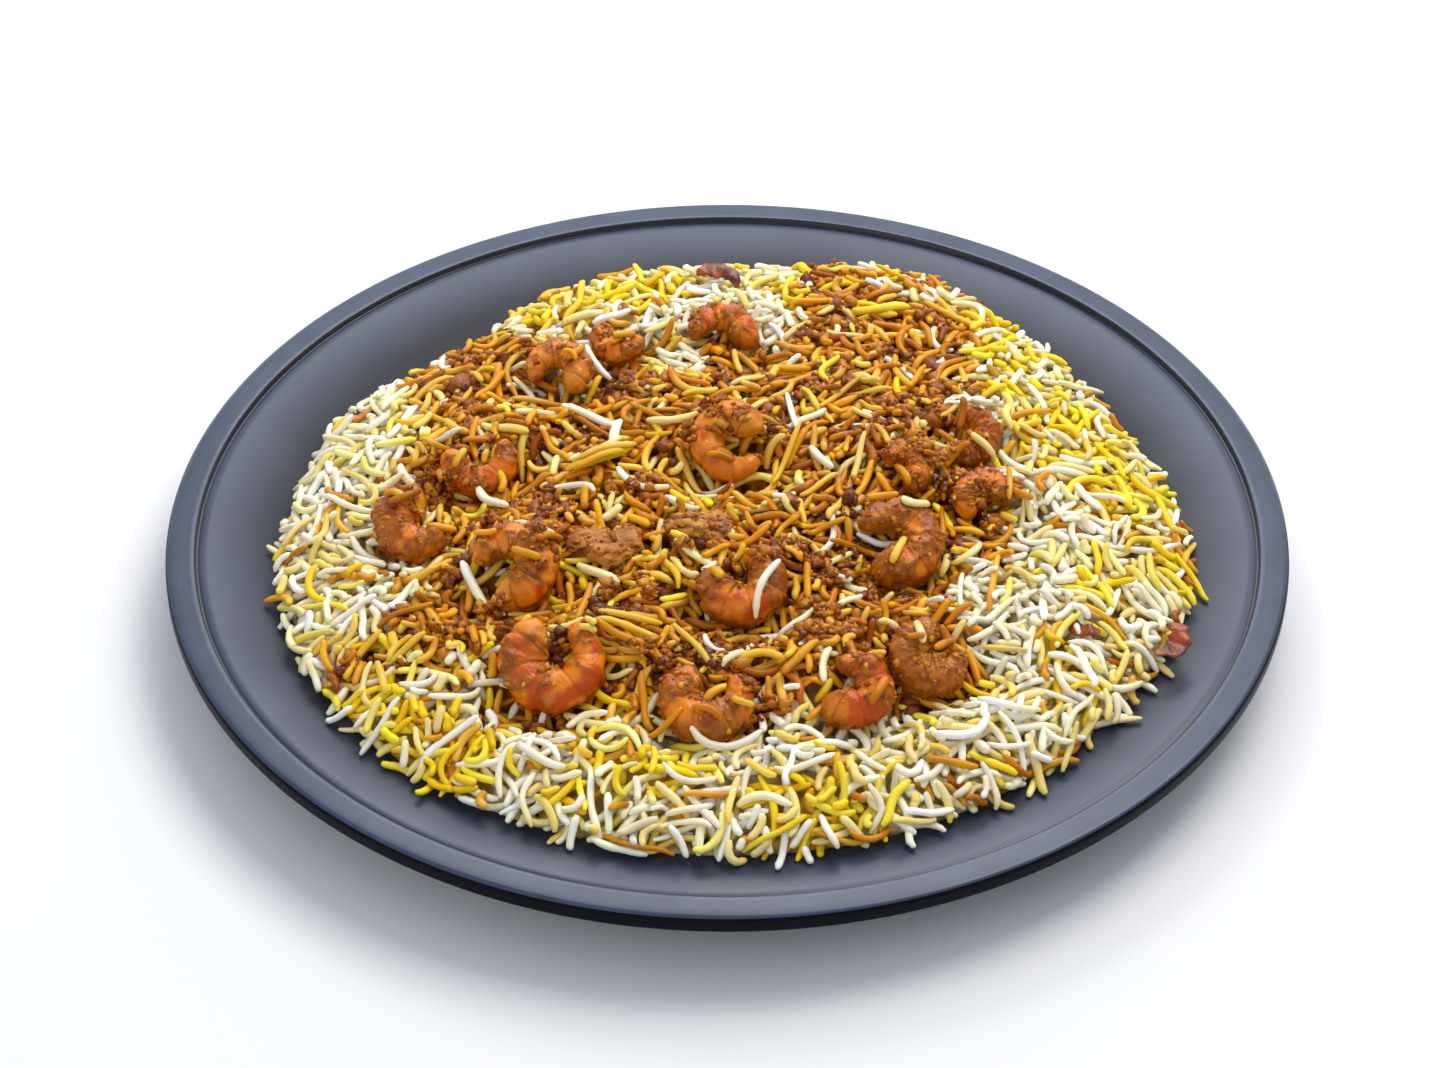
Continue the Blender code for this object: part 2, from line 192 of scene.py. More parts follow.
def blobs(x, y, zones, soft=0.35, ragged=5.0, seed=0):
    """How far a point lies inside any of the zones, from 0 to 1, with ragged borders."""
    wx = x + ragged * noise2(x, y, 11.0, seed + 1)
    wy = y + ragged * noise2(x, y, 11.0, seed + 2)
    most = np.zeros_like(x)
    for cx, cy, rx, ry, turn in zones:
        c, s = math.cos(math.radians(turn)), math.sin(math.radians(turn))
        u, v = (wx - cx) * c + (wy - cy) * s, (wy - cy) * c - (wx - cx) * s
        away = np.hypot(u / rx, v / ry)
        most = np.maximum(most, 1 - fade(away, 1 - soft * 0.5, 1 + soft * 0.5))
    return most


def masala_share(x, y):
    """How much of the rice is in masala at these places, from 0 to 1."""
    inside = blobs(x, y, MASALA, soft=0.16, ragged=6.0, seed=10)
    return inside * (1 - 0.9 * blobs(x, y, NOT_MASALA, soft=0.5, ragged=3.0, seed=20))


def plate_top(r):
    """Height of the plate's upper face inside the lip, at these radii."""
    cone = RIM_Z - LIP_STEP - (LIP_INNER_R - np.maximum(r, FLANGE_INNER_R)) * FLANGE_SLOPE
    return cone - WELL_DEPTH * (1 - fade(r, FLOOR_R, FLANGE_INNER_R))


def heap_radius(azimuth):
    """The heap's uneven outline, for an array of azimuths in degrees."""
    radius = np.full_like(azimuth, HEAP_R)
    for centre, width, size in OUTLINE_BULGES:
        away = (azimuth - centre + 180) % 360 - 180
        radius += size * np.exp(-((away / width) ** 2))
    return radius


def placed(x, y, height, heading, tilt_x=0.0, tilt_y=0.0):
    """Where a piece lies, as a matrix in millimetres."""
    turn = Matrix.Rotation(math.radians(tilt_x), 4, "X") @ Matrix.Rotation(math.radians(tilt_y), 4, "Y")
    turn = turn @ Matrix.Rotation(math.radians(heading), 4, "Z")
    return np.array(Matrix.Translation((x, y, RIM_Z + height)) @ turn)


def circle(count):
    """Angles round a full turn."""
    return np.arange(count) * 2 * np.pi / count


def moved(points, place):
    """Points taken from a piece's own space to its place."""
    return points @ place[:3, :3].T + place[:3, 3]


def heap_top(x, y):
    """The heap's smooth top, with the prawns' beds in it. Outside the heap it is the plate."""
    r = np.hypot(x, y)
    azimuth = np.degrees(np.arctan2(y, x))
    edge_r = heap_radius(azimuth)
    share = np.minimum(r / edge_r, 1)
    dome = HEAP_RISE * np.maximum(1 - share**SHOULDER_POWER, 0) ** SHOULDER_ROUNDING
    z = plate_top(edge_r) + HEAP_EDGE + dome
    z = z + (1 - share**6) * (1.3 * noise2(x, y, 17.0, 3) + 0.8 * noise2(x, y, 8.0, 4))
    for px, py, height, heading, tilt_x, tilt_y, _, across, thickness, *_ in PRAWNS.values():
        place = placed(px, py, height, heading, tilt_x, tilt_y)
        outside = np.hypot(x - px, y - py) - across / 2 - BED_MARGIN
        near = fade(-outside, -BED_FADE, 0)
        nx, ny, nz = place[:3, 2]
        bed = place[2, 3] - (nx * (x - px) + ny * (y - py)) / nz - BED_DEPTH * thickness
        z = z + near * np.clip(bed - z, -MOST_DUG, MOST_PILED)
    return np.where(r <= edge_r, z, plate_top(r))


# --------
# Meshes.


def new_mesh(name, points, faces, tint, uv=None):
    """An object from arrays: points in mm, faces as a list of arrays of equal-sided faces, and the colour of
    each point."""
    mesh = bpy.data.meshes.new(name)
    mesh.vertices.add(len(points))
    mesh.vertices.foreach_set("co", (np.asarray(points, np.float32) * MM).ravel())
    loops = np.concatenate([f.ravel() for f in faces]).astype(np.int32)
    sides = np.concatenate([np.full(len(f), f.shape[1]) for f in faces])
    mesh.loops.add(len(loops))
    mesh.loops.foreach_set("vertex_index", loops)
    mesh.polygons.add(len(sides))
    mesh.polygons.foreach_set("loop_start", np.concatenate([[0], np.cumsum(sides)[:-1]]).astype(np.int32))
    mesh.update(calc_edges=True)
    mesh.shade_smooth()
    layer = mesh.color_attributes.new("tint", "FLOAT_COLOR", "POINT")
    rgba = np.ones((len(points), 4), np.float32)
    rgba[:, :3] = np.clip(tint, 0, 1)
    layer.data.foreach_set("color", rgba.ravel())
    if uv is not None:
        layer = mesh.uv_layers.new(name="OFBake")
        layer.uv.foreach_set("vector", np.asarray(uv, np.float32).ravel())
    mesh.validate()
    obj = bpy.data.objects.new(name, mesh)
    bpy.context.scene.collection.objects.link(obj)
    return obj


def piece(obj, material, slot, *nodes):
    """Gives a finished piece its material and body, and hides the nodes it stands for. The slot is not used.
    """
    obj.data.materials.append(material)
    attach(obj, "root")
    if nodes:
        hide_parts(*nodes)
    return obj


def tube_faces(rings, sides, count=1):
    """Faces of count closed tubes, each with rings of points and then a point at each end."""
    ring, side = np.meshgrid(np.arange(rings - 1), np.arange(sides), indexing="ij")
    beside = (side + 1) % sides
    near, far = ring * sides, (ring + 1) * sides
    quads = np.stack([near + side, near + beside, far + beside, far + side], -1).reshape(-1, 4)
    shift = (np.arange(count) * (rings * sides + 2))[:, None, None]
    around = np.arange(sides)
    after = (around + 1) % sides
    start = np.stack([np.full(sides, rings * sides), after, around], -1)
    last = (rings - 1) * sides
    end = np.stack([np.full(sides, rings * sides + 1), last + around, last + after], -1)
    caps = np.concatenate([start, end])
    return [(part[None] + shift).reshape(-1, part.shape[1]) for part in (quads, caps)]


def tube_uv(rings, sides, count, across):
    """One small cell of the bake map for each tube: along it one way and round it the other."""
    ring, side = np.meshgrid(np.arange(rings - 1), np.arange(sides), indexing="ij")
    corners = []
    for dr, ds in ((0, 0), (0, 1), (1, 1), (1, 0)):
        corners.append(np.stack([(ring + dr + 0.5) / rings, (side + ds) / sides], -1))
    quads = np.stack(corners, 2).reshape(-1, 4, 2)
    around = np.arange(sides)
    mid = (around + 0.5) / sides
    low, high = 0.5 / rings, (rings - 0.5) / rings
    zero, one = np.zeros(sides), np.ones(sides)
    start = np.stack([zero, mid, zero + low, (around + 1) / sides, zero + low, around / sides], -1)
    end = np.stack([one, mid, zero + high, around / sides, zero + high, (around + 1) / sides], -1)
    caps = np.concatenate([start, end]).reshape(-1, 3, 2)
    cell = np.stack([np.arange(count) % across, np.arange(count) // across], -1)[:, None, None, :]
    parts = [(cell + 0.12 + 0.76 * part[None]) / across for part in (quads, caps)]
    return np.concatenate([part.reshape(-1, 2) for part in parts])


# --------
# The height of everything laid so far, on a square grid.

CELL, HALF = 0.5, 152.0
GRID = int(2 * HALF / CELL)
axis = (np.arange(GRID) + 0.5) * CELL - HALF
GRID_X, GRID_Y = np.meshgrid(axis, axis)
GRID_R = np.hypot(GRID_X, GRID_Y)
TARGET = heap_top(GRID_X, GRID_Y)
PLATE_LEVEL = np.where(GRID_R < LIP_INNER_R, plate_top(GRID_R), RIM_Z)
INSIDE = GRID_R < heap_radius(np.degrees(np.arctan2(GRID_Y, GRID_X)))
MASALA_MAP = masala_share(GRID_X, GRID_Y)
YELLOW_MAP = blobs(GRID_X, GRID_Y, YELLOW, soft=0.55, ragged=9.0, seed=30)
WHITE_MAP = blobs(GRID_X, GRID_Y, WHITE, soft=0.9, ragged=5.0, seed=40)


def cells(x, y):
    """Row and column of the grid's cell at each place."""
    ix = np.clip(((x + HALF) / CELL).astype(int), 0, GRID - 1)
    iy = np.clip(((y + HALF) / CELL).astype(int), 0, GRID - 1)
    return iy, ix


def widened(grid):
    """Each cell takes the highest value of its neighbours and itself."""
    padded = np.pad(grid, 1, mode="edge")
    return np.max([padded[i : i + GRID, j : j + GRID] for i in range(3) for j in range(3)], axis=0)


# Share of each kind of grain, in the order of KINDS, in each zone and where none is.
ZONE_MAPS = {"masala": MASALA_MAP, "yellow": YELLOW_MAP, "white": WHITE_MAP}
ZONE_SHARES = {
    "masala": (0.05, 0.09, 0.06, 0.61, 0.19),
    "yellow": (0.12, 0.26, 0.56, 0.06, 0.0),
    "white": (0.72, 0.19, 0.03, 0.05, 0.01),
    "none": (0.54, 0.28, 0.02, 0.13, 0.03),
}

# Grains: half width as mean, spread, least and most; half height as least and most shares of that.
HALF_WIDTH = (1.1, 0.12, 0.82, 1.36)
FLATNESS = (0.78, 0.94)
LENGTH_SPREAD, SHORTEST, LONGEST = 3.2, 5.0, 20.0
WHOLE = 0.82  # share of the grains that aren't broken in half
MILD = 0.78  # share that curl only a little
CALM = 0.82  # share that lie almost level
OVER_EDGE, MOSTLY_IN = 4.5, 1.0  # how far past the outline a tip may reach, and half of the grain
# Most that a grain bends to what lies under it, as shares of its length: its ends down, up, and in an S.
DROOP, SAG, WAVE = 0.45, 0.3, 0.8
BRIDGE, NESTLE = 0.4, 0.72  # shares of the highest bump and of its half height by which it stands off
STEEPEST = 0.85
FEWEST_SPOTS, BATCH = 40, 160  # cells still lacking rice that call for another batch, and its tries
SAMPLES = 15
ALONG = np.linspace(-0.5, 0.5, SAMPLES)
BASIS = np.stack([np.ones(SAMPLES), ALONG, ALONG**2 - (ALONG**2).mean(), ALONG**3 - 0.15 * ALONG], -1)
FIT = np.linalg.pinv(BASIS)
FINE = np.linspace(0, SAMPLES - 1, 33)
ROUND = np.array([-0.9, -0.5, 0.0, 0.5, 0.9])
ARCH = np.sqrt(1 - ROUND**2)
TIP = np.sqrt(np.clip(1 - (np.abs(ALONG) * 2) ** 6, 0, 1))


# One laid grain: its centre line, half width, half height, kind, and the colours of its two ends.
Grain = collections.namedtuple("Grain", "line wide high kind first last")


def plan_line(x, y, heading, length, bend, sway):
    """The grain seen from above: an arc that turns by bend, with an S of size sway."""
    turn = heading + bend * ALONG + sway * np.sin(2 * np.pi * ALONG)
    step = length / (SAMPLES - 1)
    px, py = np.cumsum(np.cos(turn)) * step, np.cumsum(np.sin(turn)) * step
    return x + px - px.mean(), y + py - py.mean(), turn


def rest_on(heights, px, py, turn, length, wide, high, steepest, poise):
    """Heights of the grain's centre line where it comes to rest, bending a little to what lies under it."""
    across = np.array([-0.75, 0.0, 0.75])[:, None] * wide
    under = heights[cells(px - across * np.sin(turn), py + across * np.cos(turn))].max(axis=0)
    level, slope, curve, wave = FIT @ under
    slope = min(max(slope, -steepest * length), steepest * length) + poise * length
    curve = min(max(curve, -DROOP * length), SAG * length)
    wave = min(max(wave, -WAVE * length), WAVE * length)
    fit = BASIS @ np.array((level, slope, curve, wave))
    over = under - fit
    return fit + BRIDGE * over.max() + high * NESTLE


def stamp(heights, px, py, pz, turn, wide, high):
    """Raises the height map where the grain lies."""
    index = np.arange(SAMPLES)
    fx, fy, fz = (np.interp(FINE, index, v) for v in (px, py, pz))
    ft, tip = np.interp(FINE, index, turn), np.interp(FINE, index, TIP)
    off = ROUND[:, None] * wide
    where = cells(fx - off * np.sin(ft), fy + off * np.cos(ft))
    np.maximum.at(heights, where, fz + ARCH[:, None] * high * tip)


def grain_colours(kind):
    """Two linear colours of this kind, one for each end."""
    codes = GRAIN_COLOURS[kind]
    picks = [srgb(codes[rng.integers(len(codes))]) for _ in range(2)]
    tone = float(np.clip(rng.normal(1.0, 0.09), 0.75, 1.15))
    other = KINDS[min(KINDS.index(kind) + 1, len(KINDS) - 1)]
    first = (0.6 * picks[0] + 0.4 * picks[1]) * tone
    last = picks[1] * tone
    if rng.random() < 0.3 and kind in ("white", "pale", "golden"):
        stain = srgb(GRAIN_COLOURS[other][rng.integers(len(GRAIN_COLOURS[other]))])
        last = 0.45 * last + 0.55 * stain
    return first, last


def pick_kind(x, y):
    """The kind of rice at this place, drawn by the zones."""
    where = cells(np.array([x]), np.array([y]))
    chance = rng.random()
    zone = next((name for name, share in ZONE_MAPS.items() if rng.random() < share[where][0]), "none")
    return KINDS[int(np.searchsorted(np.cumsum(ZONE_SHARES[zone])[:-1], chance))]


def lay(heights, x, y, heading, length, bend, sway, steepest, poise, tall=None, kind=None):
    """Lays one grain and returns it, or None where it doesn't fit."""
    mean, spread, least, most = HALF_WIDTH
    wide = float(np.clip(rng.normal(mean, spread), least, most))
    high = wide * rng.uniform(*FLATNESS)
    px, py, turn = plan_line(x, y, heading, length, bend, sway)
    reach = np.hypot(px, py) - heap_radius(np.degrees(np.arctan2(py, px)))
    if reach.max() > OVER_EDGE or (reach > MOSTLY_IN).mean() > 0.5:
        return None
    pz = rest_on(heights, px, py, turn, length, wide, high, steepest, poise)
    if tall is not None and (pz + high - TARGET[cells(px, py)]).mean() > tall:
        return None
    pz = np.maximum(pz, PLATE_LEVEL[cells(px, py)] + high)
    stamp(heights, px, py, pz, turn, wide, high)
    kind = kind or pick_kind(x, y)
    first, last = grain_colours(kind)
    return Grain(np.stack([px, py, pz], -1), wide, high, kind, first, last)


def random_grain(heights, spot, tall, mean_length, blocked=None, cross=0.0):
    """Lays a grain of random size and curl at this spot, if it fits."""
    iy, ix = spot
    x, y = axis[ix] + rng.uniform(-0.3, 0.3), axis[iy] + rng.uniform(-0.3, 0.3)
    length = float(np.clip(rng.normal(mean_length, LENGTH_SPREAD), SHORTEST, LONGEST))
    length *= 1.0 if rng.random() < WHOLE else 0.5
    bend = rng.normal(0, 0.7) if rng.random() < MILD else rng.choice((-1, 1)) * rng.uniform(1.2, 2.5)
    sway = rng.normal(0, 0.25)
    poise = rng.normal(0, 0.1) if rng.random() < CALM else rng.uniform(-0.5, 0.5)
    heading = rng.uniform(0, 2 * np.pi)
    if blocked is not None:
        px, py, _ = plan_line(x, y, heading, length, bend, sway)
        if blocked[cells(px, py)].mean() > 0.22 and rng.random() > cross:
            return None
    return lay(heights, x, y, heading, length, bend, sway, STEEPEST, poise, tall=tall)


def fill(heights, least, wanted, tall, mean_length, batches, blocked=None, cross=0.0):
    """Lays grains wherever the heap still lies more than least below its top, until there are enough."""
    grains = []
    for _ in range(batches):
        lacking = INSIDE & (TARGET - heights > least)
        if blocked is not None:
            lacking &= blocked == 0
        spots = np.argwhere(lacking)
        if len(spots) < FEWEST_SPOTS or len(grains) >= wanted:
            break
        for spot in spots[rng.integers(len(spots), size=BATCH)]:
            grain = random_grain(heights, spot, tall + rng.uniform(-0.5, 0.5), mean_length, blocked, cross)
            if grain:
                grains.append(grain)
    return grains


# A grain's thickness along its length, as a share of the full one: blunt at both ends.
GRAIN_BODY = (
    (0.0, 0.5), (0.035, 0.6), (0.1, 0.88), (0.22, 0.99), (0.5, 1.0), (0.8, 0.97), (0.92, 0.84),
    (0.965, 0.56), (1.0, 0.45),
)


def grain_piece(name, grains, material, rings=9, sides=6):
    """Joins grains into one mesh, with the colour of each in its points and a bake cell for each."""
    count = len(grains)
    lines = np.stack([g.line for g in grains])
    share = np.linspace(0.035, 0.965, rings)
    index = share * (SAMPLES - 1)
    low = np.floor(index).astype(int)
    past = (index - low)[None, :, None]
    centre = mix(lines[:, low], lines[:, np.minimum(low + 1, SAMPLES - 1)], past)
    tangent = np.gradient(centre, axis=1)
    tangent /= np.linalg.norm(tangent, axis=-1, keepdims=True)
    side = np.cross(np.array((0.0, 0.0, 1.0)), tangent)
    side /= np.maximum(np.linalg.norm(side, axis=-1, keepdims=True), 1e-6)
    up = np.cross(tangent, side)
    body = np.interp(share, *zip(*GRAIN_BODY))
    wobble = 1 + 0.05 * rng.standard_normal((count, rings))
    wide = np.array([g.wide for g in grains])[:, None] * body * wobble
    high = np.array([g.high for g in grains])[:, None] * body * wobble
    turn = circle(sides) + np.pi / sides
    ring = centre[:, :, None] + side[:, :, None] * (wide[..., None] * np.cos(turn))[..., None]
    ring = ring + up[:, :, None] * (high[..., None] * np.sin(turn))[..., None]
    ends = np.stack([lines[:, 0] * 0.6 + centre[:, 0] * 0.4, lines[:, -1] * 0.6 + centre[:, -1] * 0.4], 1)
    points = np.concatenate([ring.reshape(count, -1, 3), ends], 1).reshape(-1, 3)
    first = np.stack([g.first for g in grains])[:, None, :]
    last = np.stack([g.last for g in grains])[:, None, :]
    along = fade(np.repeat(share, sides), 0.25, 0.85)
    along = np.concatenate([along, [0.0, 1.0]])[None, :, None]
    tint = mix(first, last, along).reshape(-1, 3)
    tint *= (1 + 0.07 * noise3(points, 2.4, 55))[:, None]
    across = int(math.ceil(math.sqrt(count)))
    uv = tube_uv(rings, sides, count, across)
    piece(new_mesh(name, points, tube_faces(rings, sides, count), tint, uv), material, "rice")


# Grains that stand out: x and y of the two ends, bend in radians, kind.
HEROES = (
    (-67, -1, -58, -15, 0.5, "white"), (-30, -2, -16, -12, 1.3, "white"),
    (-45, 28, -28, 19, -0.5, "white"), (-29, 21, -31, 8, 0.4, "white"),
    (-40, 61, -33, 50, 1.2, "white"), (-69, -35, -62, -48, 0.3, "white"),
    (13, -45, 6, -58, 1.0, "white"), (13, -61, 23, -54, 1.0, "white"),
    (16, 33, 19, 15, 0.2, "white"), (22, 9, 28, 0, 0.3, "white"), (12, -3, 20, 17, 0.1, "golden"),
    (35, 75, 52, 77, 1.1, "yellow"), (-22, 22, -8, 19, 1.4, "pale"),
    (-43, -3, -26, 10, 0.1, "golden"), (-41, -4, -25, 8, 0.15, "yellow"),
    (-40, -5, -27, 5, 0.2, "golden"), (-42, -1, -28, 11, 0.0, "pale"),
    (-39, -3, -24, 9, 0.1, "golden"), (-33, -60, -16, -62, 0.15, "golden"),
    (-34, -64, -17, -66, -0.1, "golden"), (-33, -68, -18, -71, 0.1, "golden"),
    (-9, -98, 9, -98, 2.2, "white"), (52, -98, 66, -92, 1.9, "white"),
    (62, -83, 78, -88, 1.2, "white"), (-52, -100, -40, -108, 1.0, "white"),
)


def hero_grains(heights):
    """Lays the grains that stand out, last and on top."""
    grains = []
    for x0, y0, x1, y1, bend, kind in HEROES:
        chord = math.hypot(x1 - x0, y1 - y0)
        length = chord if abs(bend) < 0.1 else chord * (bend / 2) / math.sin(bend / 2)
        heading = math.atan2(y1 - y0, x1 - x0)
        grain = lay(heights, (x0 + x1) / 2, (y0 + y1) / 2, heading, length, bend, 0.0, 0.6, 0.0, kind=kind)
        if grain:
            grains.append(grain)
    return grains


# --------
# Materials.


def set_inputs(node, values):
    """Sets the node's inputs by name."""
    for name, value in values.items():
        node.inputs[name].default_value = value


def principled(name, colour=(0.8, 0.8, 0.8), roughness=0.5, specular=0.5, subsurface=0.0):
    """A plain material and its shader."""
    material = bpy.data.materials.new(name)
    material.use_nodes = True
    shader = material.node_tree.nodes["Principled BSDF"]
    values = {
        "Base Color": (*colour, 1.0),
        "Roughness": roughness,
        "Specular IOR Level": specular,
        "Subsurface Weight": subsurface,
        "Subsurface Radius": (1.0, 0.5, 0.25),
        "Subsurface Scale": 0.0015,
    }
    set_inputs(shader, values)
    return material, shader


def link_tint(tree, shader):
    """Gives the shader the mesh's own tint."""
    source = tree.nodes.new("ShaderNodeAttribute")
    source.attribute_name = "tint"
    tree.links.new(source.outputs["Color"], shader.inputs["Base Color"])


def mottling(tree, scale, detail):
    """Noise over the object's own coordinates, and those coordinates."""
    place = tree.nodes.new("ShaderNodeTexCoord").outputs["Object"]
    noise = tree.nodes.new("ShaderNodeTexNoise")
    set_inputs(noise, {"Scale": scale, "Detail": detail})
    tree.links.new(place, noise.inputs["Vector"])
    return noise.outputs["Fac"], place


def remapped(tree, value, *limits):
    """The value moved from one range to another: the limits are from least, from most, to least, to most."""
    spread = tree.nodes.new("ShaderNodeMapRange")
    set_inputs(spread, dict(zip(("From Min", "From Max", "To Min", "To Max"), limits)))
    tree.links.new(value, spread.inputs["Value"])
    return spread.outputs["Result"]


def tinted(name, roughness, subsurface=0.0, bump=0.0, bump_scale=900.0, **others):
    """A material whose colour comes from the mesh's own tint, with fine bumps if asked."""
    material, shader = principled(name, roughness=roughness, subsurface=subsurface, **others)
    tree = material.node_tree
    link_tint(tree, shader)
    if bump:
        raised = tree.nodes.new("ShaderNodeBump")
        set_inputs(raised, {"Strength": bump, "Distance": 0.0006})
        tree.links.new(mottling(tree, bump_scale, 3.0)[0], raised.inputs["Height"])
        tree.links.new(raised.outputs["Normal"], shader.inputs["Normal"])
    return material


DULL_SHADE_R, SATIN_R = 118.0, LIP_INNER_R - 2  # dullest, and darkest with painted shade, inside the first radius; plain outside the second
SATIN, DULLING = (0.29, 0.33), 0.38  # roughness of the plate, and what is added near the rice


def plate_material():
    """Dark slate melamine: satin, its lip a little worn and mottled."""
    material, shader = principled("melamine_satin", specular=0.45)
    sheen = {"Sheen Weight": 0.2, "Sheen Roughness": 0.4, "Sheen Tint": (0.8, 0.88, 1.0, 1.0)}
    set_inputs(shader, sheen)
    tree = material.node_tree
    link_tint(tree, shader)
    mottle, place = mottling(tree, 60.0, 5.0)
    # Duller and darker near the rice. The plate looks so there, perhaps because it curves more than this
    # cone, and the shade is painted on rather than coming from its shape.
    level = tree.nodes.new("ShaderNodeVectorMath")
    level.operation = "MULTIPLY"
    level.inputs[1].default_value = (1.0, 1.0, 0.0)
    radius = tree.nodes.new("ShaderNodeVectorMath")
    radius.operation = "LENGTH"
    total = tree.nodes.new("ShaderNodeMath")
    total.operation = "ADD"
    link = tree.links.new
    link(place, level.inputs[0])
    link(level.outputs["Vector"], radius.inputs[0])
    link(remapped(tree, mottle, 0.35, 0.65, *SATIN), total.inputs[0])
    duller = remapped(tree, radius.outputs["Value"], DULL_SHADE_R * MM, SATIN_R * MM, DULLING, 0.0)
    link(duller, total.inputs[1])
    link(total.outputs["Value"], shader.inputs["Roughness"])
    return material


# --------
# Pieces.


def arc(centre_r, centre_z, radius, first, last, count):
    """Points of a round stretch of the plate's profile, between two angles in degrees."""
    angles = np.radians(np.linspace(first, last, count))
    return [(centre_r + radius * math.cos(a), centre_z + radius * math.sin(a)) for a in angles]


def build_plate():
    """The plate turned from a fine profile, with a thin groove at the lip's foot darkened by painted shade,
    and a near-black outer edge of painted shade.
    """
    radii = np.concatenate([[0.0, 60.0], np.linspace(80, 140.6, 34)])
    tops = [(r, plate_top(r)) for r in radii]
    lip_foot = RIM_Z - LIP_STEP
    profile = tops + [(LIP_INNER_R - 0.5, lip_foot - 0.25), (LIP_INNER_R, lip_foot - 0.35)]
    profile += [(LIP_INNER_R + 0.18, lip_foot - 0.1), (LIP_INNER_R + 0.3, RIM_Z - 0.35)]
    profile += arc(LIP_INNER_R + 0.9, RIM_Z - 0.5, 0.5, 150, 95, 4)
    profile += [(LIP_INNER_R + 2.0, RIM_Z), (LIP_INNER_R + 4.5, RIM_Z)]
    profile += arc(RIM_R - EDGE_RADIUS, RIM_Z - EDGE_RADIUS, EDGE_RADIUS, 90, 0, 9)
    profile += arc(RIM_R - EDGE_RADIUS, RIM_Z - EDGE_DEPTH + EDGE_RADIUS, EDGE_RADIUS, 0, -90, 9)
    radii = (LIP_INNER_R, 130.0, 118.0, FLANGE_INNER_R, 95.0)
    profile += [(r, plate_top(r) - WALL) for r in radii]
    under = plate_top(0.0) - WALL
    profile += [(FOOT_R + 2, under), (FOOT_R + 0.6, 0.6), (FOOT_R, 0.15), (FOOT_R - 0.6, 0.0)]
    inner = FOOT_R - FOOT_WIDTH
    profile += [(inner + 0.6, 0.0), (inner, 0.3), (inner - 1, under), (0.0, under)]
    profile = np.array(profile)
    steps = 240
    turn = circle(steps)
    rings = profile[1:-1]
    out, level = rings[:, 0:1], np.repeat(rings[:, 1:2], steps, 1)
    points = np.stack([out * np.cos(turn), out * np.sin(turn), level], -1).reshape(-1, 3)
    points = np.concatenate([points, [(0, 0, profile[0, 1]), (0, 0, profile[-1, 1])]])
    faces = tube_faces(len(rings), steps)
    r = np.hypot(points[:, 0], points[:, 1])
    base = np.array((0.018, 0.03, 0.064))
    tint = np.repeat(base[None], len(points), 0)
    on_lip = (r > LIP_INNER_R + 0.5) & (points[:, 2] > RIM_Z - 0.4)
    blotch = noise3(points, 9.0, 71) * 0.5 + noise3(points, 3.0, 72) * 0.5
    tint[on_lip] *= (1.35 + 0.55 * blotch[on_lip])[:, None]
    flange = (r < LIP_INNER_R - 0.4) & (points[:, 2] > under + WALL - 0.1)
    tint[flange] *= (1.15 + 0.12 * noise3(points, 22.0, 73)[flange])[:, None]
    # Painted shade: the flange's tint darkens towards the rice, to a quarter of it next to the heap.
    tint[flange] *= (0.25 + 0.75 * fade(r, DULL_SHADE_R, SATIN_R)[flange])[:, None]
    # Painted shade: a thin dark line in the groove at the lip's foot.
    dark = (np.abs(r - LIP_INNER_R) < 0.6) & (points[:, 2] > 15)
    tint[dark] *= 0.25
    plate = piece(new_mesh("dinner_plate", points, faces, tint), plate_material(), "melamine", "plate")
    # Painted shade: the outer edge band gets a near-black copy of the melamine with little specular, dark as
    # if it reflected only the shadowed floor in front.
    edge_shade, _ = principled("melamine_edge_painted_shade", (0.0012, 0.0014, 0.0026), 0.4, specular=0.08)
    plate.data.materials.append(edge_shade)
    outside = (r > RIM_R - 0.7) & (points[:, 2] > 10)
    for polygon in plate.data.polygons:
        if all(outside[i] for i in polygon.vertices):
            polygon.material_index = 1


def swept_points(place, centre, outward, wide, high, sides):
    """Rings of points round a curved centre line in the local XY plane, moved to their place. Also the ring
    that each point belongs to, and its angle round it."""
    around, rings = circle(sides), len(centre)
    cos, sin = np.cos(around), np.sin(around)
    ring = centre[:, None, :] + outward[:, None, :] * (wide[:, None] * cos)[..., None]
    ring = ring + np.array((0, 0, 1.0)) * (high[:, None] * sin)[..., None]
    points = np.concatenate([ring.reshape(-1, 3), centre[[0, -1]]])
    owner = np.concatenate([np.repeat(np.arange(rings), sides), [0, rings - 1]])
    return moved(points, place), owner, np.concatenate([np.tile(around, rings), [0, 0]])


def curl(across, thickness, turn, spiral, shares):
    """Centre line of a curl in the local XY plane, open towards +X, and its outward directions."""
    radius = (across - thickness) / 2
    angle = np.radians((360 - turn) / 2 + turn * shares)
    outward = np.stack([np.cos(angle), np.sin(angle), np.zeros_like(angle)], -1)
    return outward * (radius * (1 + spiral * (shares - 0.5)))[:, None], outward


PLUMP = 1.1  # a cooked prawn with its coat is this much fuller than its bare solid
EXTRA_TURN = 14.0  # degrees by which its ends close in further
CRUMBS_EACH = 110
COATED = []  # points on the prawns' coats, where crumbs stick


